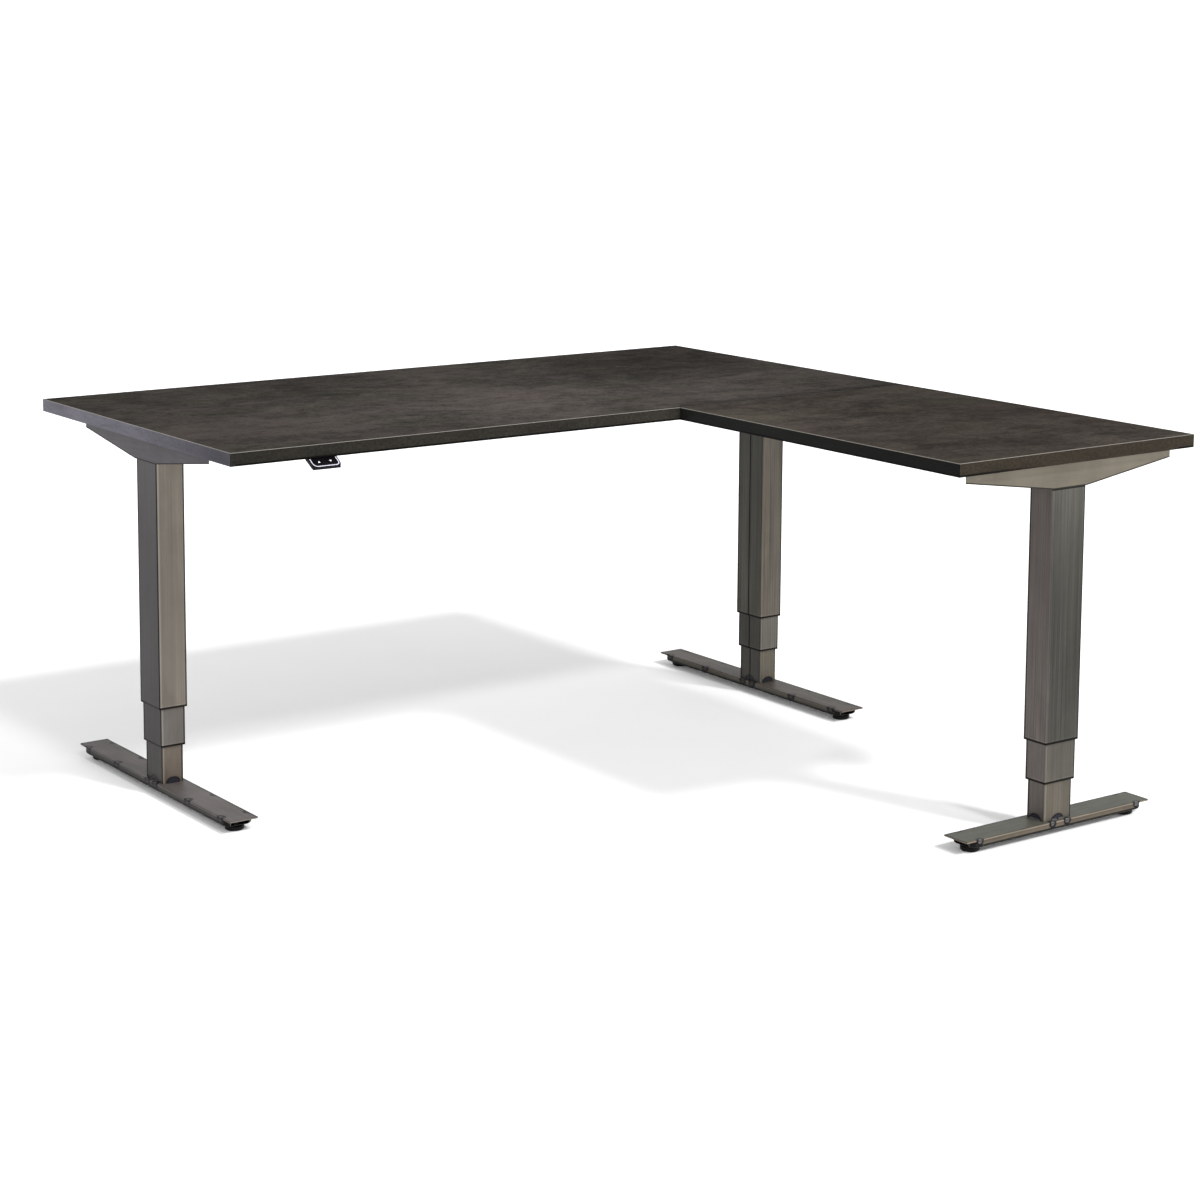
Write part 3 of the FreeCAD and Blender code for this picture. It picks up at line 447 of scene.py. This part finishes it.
        # painted shade: a dark line along the sheared lower edge of an arm, level under the column, then rising to the
        # tips
        mid, along_h, flat_h, half_h, z0, z1 = hem
        v = t.math("ABSOLUTE", t.math("SUBTRACT", y if along_h == "y" else x, mid))
        rise = t.math("MULTIPLY", t.math("DIVIDE", t.math("SUBTRACT", v, flat_h), half_h - flat_h, clamp=True), z1 - z0)
        over = t.math("SUBTRACT", t.math("SUBTRACT", z, z0), rise)
        hem_shade = t.smooth(over, 0.0027, 0.0019)
        col = t.times(col, t.math("MULTIPLY_ADD", hem_shade, -0.85, 1.0))
        dull = hem_shade
    if under:
        # painted shadow: a dark line on the tube's face just under the arm
        band = t.math("MULTIPLY", t.smooth(z, under - 0.0034, under - 0.0026), t.math("LESS_THAN", ny, -0.5))
        col = t.times(col, t.math("MULTIPLY_ADD", band, -0.85, 1.0))
        dull = t.math("MAXIMUM", dull, band)
    r = t.smooth(fine, 0.25, 0.75, rough - 0.06, rough + 0.10)
    if ends:
        # painted shade: a dark rim where a stage ends, with a painted highlight line above it
        z0 = ends
        col = t.times(col, t.smooth(z, z0 + 0.0070, z0 + 0.0050, 1.0, 1.25))
        col = t.times(col, t.smooth(z, z0 + 0.0036, z0 + 0.0046, 0.06, 1.0))
    if groove:
        # darker line along the seam groove of the inward face
        gx, gy, along_g = groove
        across = t.math("SUBTRACT", y, gy) if along_g == "x" else t.math("SUBTRACT", x, gx)
        depth = t.math("SUBTRACT", x, gx) if along_g == "x" else t.math("SUBTRACT", y, gy)
        gm = t.smooth(t.math("ABSOLUTE", across), 0.0024, 0.0013)
        gm = t.math("MULTIPLY", gm, t.math("LESS_THAN", t.math("ABSOLUTE", depth), 0.0016))
        col = t.times(col, t.math("MULTIPLY_ADD", gm, -0.80, 1.0))
    if marks:
        cx, cy, along, spots, zm, edge = marks
        u = t.math("SUBTRACT", x, cx)
        v = t.math("SUBTRACT", y, cy)
        if along == "x":
            u, v = v, u
        jitter = t.noise(t.scaled(t.co, (160.0, 160.0, 160.0)), 1.0, 3, 0.6)
        p = t.comb(t.math("ABSOLUTE", u), t.math("ABSOLUTE", v), z)
        d = None
        for sp in spots:
            q = t.vmath("MULTIPLY", t.vmath("SUBTRACT", p, (edge, sp, zm)), (1 / nugget[0], 1 / nugget[1], 1 / 0.0095))
            dd = t.vmath("LENGTH", q)
            d = dd if d is None else t.math("MINIMUM", d, dd)
        d = t.math("MULTIPLY_ADD", t.math("SUBTRACT", jitter, 0.5), 0.55, d)
        col = t.mix(t.smooth(d, 1.35, 1.0, 0.0, 0.55), col, t.vmath("MULTIPLY", col, (0.82, 0.74, 0.66)))
        col = t.mix(t.smooth(d, 1.04, 0.88, 0.0, 0.95), col, lin((15, 15, 20)))
        col = t.mix(t.smooth(d, 0.60, 0.42, 0.0, 0.85), col, lin(nugget[2]))
    if tints:
        cx, cy, hx, hy, z0 = tints
        u, v, w = t.math("SUBTRACT", x, cx), t.math("SUBTRACT", y, cy), t.math("SUBTRACT", z, z0)
        jitter = t.noise(t.scaled(t.co, (120.0, 120.0, 120.0), (seed, 0, 0)), 1.0, 3, 0.6)
        ha, hw, hh = 0.009, 0.0158, 0.0118
        qa = t.comb(t.math("DIVIDE", t.math("SUBTRACT", t.math("ABSOLUTE", u), hx), ha), t.math("DIVIDE", v, hw), t.math("DIVIDE", w, hh))
        qb = t.comb(t.math("DIVIDE", u, hw), t.math("DIVIDE", t.math("SUBTRACT", t.math("ABSOLUTE", v), hy), ha), t.math("DIVIDE", w, hh))
        d = t.math("MINIMUM", t.vmath("LENGTH", qa), t.vmath("LENGTH", qb))
        d = t.math("MULTIPLY_ADD", t.math("SUBTRACT", jitter, 0.5), 0.22, d)
        col = t.mix(t.smooth(d, 1.4, 1.02, 0.0, 0.5), col, t.vmath("MULTIPLY", col, (0.86, 0.80, 0.72)))
        col = t.mix(t.smooth(d, 1.04, 0.94, 0.0, 0.95), col, lin((24, 24, 31)))
        col = t.mix(t.smooth(d, 0.84, 0.66, 0.0, 0.85), col, lin((45, 45, 52)))
    if dark_inside:
        # painted shade: the inside of the channel is painted near-black
        cx, cy, along, hw, hl, zf = dark_inside
        u = t.math("ABSOLUTE", t.math("SUBTRACT", x, cx))
        v = t.math("ABSOLUTE", t.math("SUBTRACT", y, cy))
        if along == "x":
            u, v = v, u
        ins = t.math("MULTIPLY", t.math("LESS_THAN", u, hw), t.math("LESS_THAN", v, hl))
        ins = t.math("MULTIPLY", ins, t.math("GREATER_THAN", z, zf))
        col = t.mix(ins, col, lin((14, 14, 14)))
        t.set(metal=t.math("MULTIPLY", t.math("SUBTRACT", 1.0, ins if dull is None else t.math("MAXIMUM", ins, dull)), metal))
    elif dull is not None:
        t.set(metal=t.math("MULTIPLY", t.math("SUBTRACT", 1.0, dull), metal))
    else:
        t.set(metal=metal)
    t.set(color=col, rough=r, spec=0.08)
    t.bump(t.math("MULTIPLY_ADD", hair, 0.5, fine), 0.12, 0.0002)
    return t.mat


COLS = {"left": "y", "corner": "y", "return": "x"}
MARKS = {"left": (0.016, 0.152, 0.284), "corner": (0.016, 0.152, 0.284), "return": (0.019, 0.203)}
CONTRAST = {"left": 0.30, "corner": 0.75, "return": 0.36}
LINES = {"left": 0.40, "corner": 1.15, "return": 0.95}
# height above the channel's lower edge and tone factor, down the wall of each foot: painted light and shade, near-black
# along the lower edge
WALL = {"left": ((0.0, 0.05), (0.0058, 0.06), (0.0070, 0.30), (0.0140, 0.56), (0.0230, 1.25)),
        "corner": ((0.0, 0.05), (0.0052, 0.06), (0.0064, 0.70), (0.0140, 1.00), (0.0230, 1.15)),
        "return": ((0.0, 0.05), (0.0050, 0.06), (0.0060, 0.95), (0.0084, 0.98), (0.0110, 0.80), (0.0230, 0.85))}
# weld marks: reach across and along the joint, tone of their middle
NUGGET = {"left": (0.0125, 0.0125, (66, 63, 61)), "corner": (0.0120, 0.0125, (62, 58, 53)), "return": (0.0085, 0.0095, (96, 95, 94))}
# painted dark outlines and a painted highlight line: tone factor of the outer corners and of the two sides of the
# corner towards -X and -Y, extra width of the line on the X faces' far corner
RIMS = {"left": (0.20, 0.28, 1.55, 0.0036), "corner": (0.18, 0.90, 1.35, 0.0026), "return": (0.20, 0.95, 1.45, 0.0018)}
SHADE_Y = {
    "left": ((0.10, 0.80), (0.23, 0.80), (0.30, 0.88), (0.40, 0.97), (0.52, 0.98), (0.60, 1.05), (0.68, 1.28)),
    "corner": None,
    "return": ((0.10, 1.05), (0.23, 0.98), (0.30, 0.84), (0.40, 0.78), (0.47, 0.84), (0.55, 1.02), (0.62, 1.30), (0.68, 1.50)),
}
SHADE_X = {
    "left": ((0.10, 0.95), (0.23, 0.90), (0.33, 0.80), (0.45, 0.80), (0.54, 0.90), (0.60, 1.10), (0.68, 1.30)),
    "corner": ((0.10, 1.40), (0.24, 1.32), (0.35, 1.14), (0.45, 1.02), (0.68, 0.96)),
    "return": ((0.10, 1.18), (0.24, 1.18), (0.34, 1.14), (0.45, 1.02), (0.52, 0.94), (0.68, 0.94)),
}
ARM_SHADE = ((0.640, 0.81), (0.674, 0.81), (0.680, 0.915), (0.685, 0.98), (0.690, 1.07), (0.698, 1.20), (0.720, 1.30))
for k, (name, along) in enumerate(COLS.items()):
    for j, st in enumerate(("outer", "middle", "inner")):
        node = "%s_%s_tube" % (name, st)
        lo, hi = box_of(node)
        c = (lo + hi) / 2
        q = 1.0 if st == "outer" else 0.6
        give(node, steel("steel_" + node, *TONE[node], seed=1.7 * k + 5.3 * j, contrast=CONTRAST[name] * q,
                         lines=LINES[name] * q, ends=None if st == "inner" else lo.z, arris=1.0,
                         rim=(c.x, c.y, (hi.x - lo.x) / 2, (hi.y - lo.y) / 2) + RIMS[name],
                         under=box_of(name + "_arm")[0].z if name == "return" and st == "outer" else None,
                         shade_y=SHADE_Y[name] if st == "outer" else None, shade_x=SHADE_X[name] if st == "outer" else None,
                         groove={"left": (hi.x, c.y, "x"), "corner": (lo.x, c.y, "x"), "return": (c.x, hi.y, "y")}[name],
                         tints=(c.x, c.y, (hi.x - lo.x) / 2, (hi.y - lo.y) / 2, lo.z) if st == "inner" else None))
    c = centre_of("%s_foot_plate" % name)
    lo, hi = box_of("%s_foot_plate" % name)
    hw = (hi.x - lo.x) / 2 if along == "y" else (hi.y - lo.y) / 2
    sk = (1.0, 0.05, 1.0) if along == "y" else (0.05, 1.0, 1.0)
    mk = (c.x, c.y, along, MARKS[name], lo.z, hw)
    node = "%s_foot_plate" % name
    give(node, steel("steel_" + node, *TONE[node], streak=sk, seed=3.0 + k, contrast=0.22, lines=0.22, marks=mk,
                     nugget=NUGGET[name], metal=0.05, rough=0.50, arris=0.4, plate=(hi.x, hi.y)))
    node = "%s_foot_channel" % name
    clo, chi = box_of(node)
    hl = ((chi.y - clo.y) if along == "y" else (chi.x - clo.x)) / 2
    give(node, steel("steel_" + node, *TONE[node], streak=sk, seed=6.0 + k, contrast=0.25, lines=0.25, marks=mk, metal=0.25, arris=0.7, lip=along,
                     fade=[(clo.z + d, f) for d, f in WALL[name]], nugget=NUGGET[name], dark_inside=(c.x, c.y, along, hw - 0.0012, hl - 0.0012, clo.z + 0.001)))
    sk = (1.0, 0.06, 1.0) if along == "y" else (0.06, 1.0, 1.0)
    node = "%s_arm" % name
    lo, hi = box_of(node)
    mid, half = ((lo.y + hi.y) / 2, (hi.y - lo.y) / 2) if along == "y" else ((lo.x + hi.x) / 2, (hi.x - lo.x) / 2)
    give(node, steel("steel_" + node, *TONE[node], streak=sk, seed=9.0 + k, contrast=0.20, lines=0.14, metal=0.4, arris=0.45,
                     hem=(mid, along, 0.0428, half, lo.z, hi.z - 0.017), shade_y=ARM_SHADE if name == "return" else None))


def bare(name, tone, metal, rough, scale, amount, spec=0.4, bump=0.15, stretch=(1, 1, 1), dist=0.0002):
    """Everyday engineering material: tone with mottling at one scale and grain at another."""
    t = Tree(name)
    a = t.noise(t.scaled(t.co, tuple(scale * s for s in stretch)), 1.0, 5, 0.6, 0.2)
    b = t.noise(t.scaled(t.co, tuple(8 * scale * s for s in stretch)), 1.0, 3, 0.6)
    col = t.times(t.ramp(a, [(0.3, lin(tuple(v * (1 - amount) for v in tone))), (0.7, lin(tuple(min(255, v * (1 + amount)) for v in tone)))]),
                  t.smooth(b, 0.25, 0.75, 0.90, 1.10))
    t.set(color=col, metal=metal, rough=t.smooth(b, 0.25, 0.75, rough - 0.05, rough + 0.07), spec=spec)
    t.bump(b, bump, dist)
    return t.mat


def beads():
    """Weld beads: nearly black on the two long feet, greyer on the short one."""
    t = Tree("weld_bead")
    a = t.noise(t.scaled(t.co, (140.0, 140.0, 140.0)), 1.0, 5, 0.6, 0.2)
    b = t.noise(t.scaled(t.co, (900.0, 900.0, 900.0)), 1.0, 3, 0.6)
    x, y, z = t.sep(t.co)
    short = t.math("LESS_THAN", y, -0.5)
    col = t.mix(short, lin((17, 17, 20)), lin((66, 66, 67)))
    col = t.times(t.times(col, t.smooth(a, 0.3, 0.7, 0.75, 1.25)), t.smooth(b, 0.25, 0.75, 0.85, 1.15))
    t.set(color=col, metal=0.2, rough=t.smooth(b, 0.25, 0.75, 0.40, 0.52), spec=0.10)
    t.bump(b, 0.5, 0.0005)
    return t.mat


SLOT_MATS = {
    "weld_steel": beads(),
    "screw_steel": bare("turned_screw", (150, 150, 150), 0.9, 0.28, 30.0, 0.10, stretch=(1, 1, 20)),
    "fastener": bare("zinc_fastener", (158, 158, 161), 0.7, 0.38, 120.0, 0.10),
    "slide_polymer": bare("slide_polymer", (205, 203, 196), 0.0, 0.50, 60.0, 0.04),
    "zinc_casting": bare("zinc_casting", (150, 150, 152), 0.7, 0.48, 60.0, 0.08),
    "motor_can": bare("motor_can", (24, 24, 26), 0.2, 0.42, 40.0, 0.10, stretch=(1, 1, 0.1)),
    "black_polymer": bare("black_polymer", (26, 26, 27), 0.0, 0.46, 240.0, 0.12),
    "black_sheet": bare("powder_coated_sheet", (30, 30, 31), 0.1, 0.55, 400.0, 0.15, bump=0.35),
    "circuit": bare("circuit_board", (28, 92, 58), 0.0, 0.35, 90.0, 0.20),
    "black_gloss": bare("handset_gloss", (7, 6, 9), 0.0, 0.24, 200.0, 0.10, spec=0.10, bump=0.05),
    "bright_line": bare("bright_line", (232, 230, 246), 0.30, 0.30, 300.0, 0.05, bump=0.05),
    "glide_rubber": bare("glide_rubber", (9, 9, 10), 0.0, 0.40, 180.0, 0.20, spec=0.10, bump=0.2),
    "raw_steel": bare("hidden_raw_steel", (110, 106, 102), 0.6, 0.42, 40.0, 0.12, stretch=(0.2, 0.2, 1)),
}
done = {"desktop_main", "desktop_return", "desktop_main_edging", "desktop_return_edging"}
done |= {"%s_%s" % (n, p) for n in COLS for p in ("outer_tube", "middle_tube", "inner_tube", "arm", "foot_plate", "foot_channel")}
slot_of = {n["node"]: n["material_slot"] for n in frame["record"]["subparts"]}
for n, o in frame["nodes"].items():
    if n not in done:
        give(n, SLOT_MATS[slot_of[n]])

# ---------------------------------------------------------------- keys' arrows
TILT_FACE = math.radians(31.0)
white = bare("key_print", (236, 236, 238), 0.0, 0.45, 400.0, 0.03)
for key, sign in (("button_up", 1), ("button_down", -1)):
    lo, hi = box_of(key)
    cx = (lo.x + hi.x) / 2
    # middle of the key's top face: the highest corner of its box is the top face's upper edge
    yc = -0.0104
    place = Matrix.Translation((cx, 0.0, box_of("desktop_main")[0].z - 0.0005)) @ Matrix.Rotation(TILT_FACE, 4, "X")
    w, h, t0, t1 = 0.0026, 0.0021, 0.00030, 0.00052
    pts = [(-w, yc - sign * h), (w, yc - sign * h), (0.0, yc + sign * h)]
    bm = bmesh.new()
    low = [bm.verts.new(place @ Vector((px, py, t0))) for px, py in pts]
    top = [bm.verts.new(place @ Vector((px, py, t1))) for px, py in pts]
    bm.faces.new(top)
    bm.faces.new(list(reversed(low)))
    for i in range(3):
        j = (i + 1) % 3
        bm.faces.new((low[i], low[j], top[j], top[i]))
    bmesh.ops.recalc_face_normals(bm, faces=bm.faces)
    me = bpy.data.meshes.new(key + "_arrow")
    bm.to_mesh(me)
    bm.free()
    o = bpy.data.objects.new(key + "_arrow", me)
    bpy.context.collection.objects.link(o)
    me.materials.append(white)
    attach(o, key)

# ---------------------------------------------------------------- floor, world, lights
me = bpy.data.meshes.new("floor")
me.from_pydata([(-60, -60, 0), (60, -60, 0), (60, 60, 0), (-60, 60, 0)], [], [(0, 1, 2, 3)])
floor = bpy.data.objects.new("floor", me)
bpy.context.collection.objects.link(floor)
t = Tree("floor_pale")
grain = t.noise(t.scaled(t.co, (6.0, 6.0, 1.0)), 1.0, 3, 0.5)
t.set(color=t.ramp(grain, [(0.3, (0.915, 0.915, 0.915)), (0.7, (0.925, 0.925, 0.925))]), rough=0.9, spec=0.0)
me.materials.append(t.mat)

world = bpy.data.worlds.new("studio")
scene.world = world
world.use_nodes = True
nt = world.node_tree
nt.nodes.clear()
wo = nt.nodes.new("ShaderNodeOutputWorld")
bg = nt.nodes.new("ShaderNodeBackground")
tc = nt.nodes.new("ShaderNodeTexCoord")
sp = nt.nodes.new("ShaderNodeSeparateXYZ")
rp = nt.nodes.new("ShaderNodeValToRGB")
nt.links.new(tc.outputs["Generated"], sp.inputs[0])
nt.links.new(sp.outputs[2], rp.inputs[0])
e = rp.color_ramp.elements
stops = ((0.0, 1.05), (0.05, 1.05), (0.20, 1.75), (0.48, 1.85), (0.72, 0.60), (1.0, 0.35))
while len(e) < len(stops):
    e.new(0.5)
for el, (pos, v) in zip(e, stops):
    el.position = pos
    el.color = (v / 1.85, v / 1.85, v / 1.85, 1.0)
nt.links.new(rp.outputs["Color"], bg.inputs["Color"])
bg.inputs["Strength"].default_value = 1.90
nt.links.new(bg.outputs[0], wo.inputs["Surface"])


def sun(name, travel, strength, angle):
    d = bpy.data.lights.new(name, "SUN")
    d.energy = strength
    d.angle = math.radians(angle)
    o = bpy.data.objects.new(name, d)
    bpy.context.collection.objects.link(o)
    o.rotation_mode = "QUATERNION"
    o.rotation_quaternion = Vector(travel).to_track_quat("-Z", "Y")
    return o


def link(light, kind, names, state):
    """Limits which objects a light falls on (receiver) or is stopped by (blocker)."""
    group = bpy.data.collections.new(light.name + "_" + kind)
    for n in names:
        group.objects.link(bpy.data.objects[n])
    for item in group.collection_objects:
        item.light_linking.link_state = state
    setattr(light.light_linking, kind + "_collection", group)


sun("key", (-0.20, 0.62, -0.725), 1.95, 7.0)
link(sun("second", (0.02, 0.745, -0.725), 0.92, 6.0), "receiver", ["floor"], "EXCLUDE")
# on the floor the return's shadow is fainter than the main board's, as in the photograph
low = sun("second_floor", (0.02, 0.745, -0.725), 0.92, 6.0)
link(low, "receiver", ["floor"], "INCLUDE")
link(low, "blocker", ["desktop_return", "desktop_return_edging", "return_arm", "return_rails", "joining_plates",
                      "return_outer_tube", "outer_guide_pads", "lift_motors", "motor_gearboxes",
                      "return_upper_screw", "return_lower_screw"], "EXCLUDE")
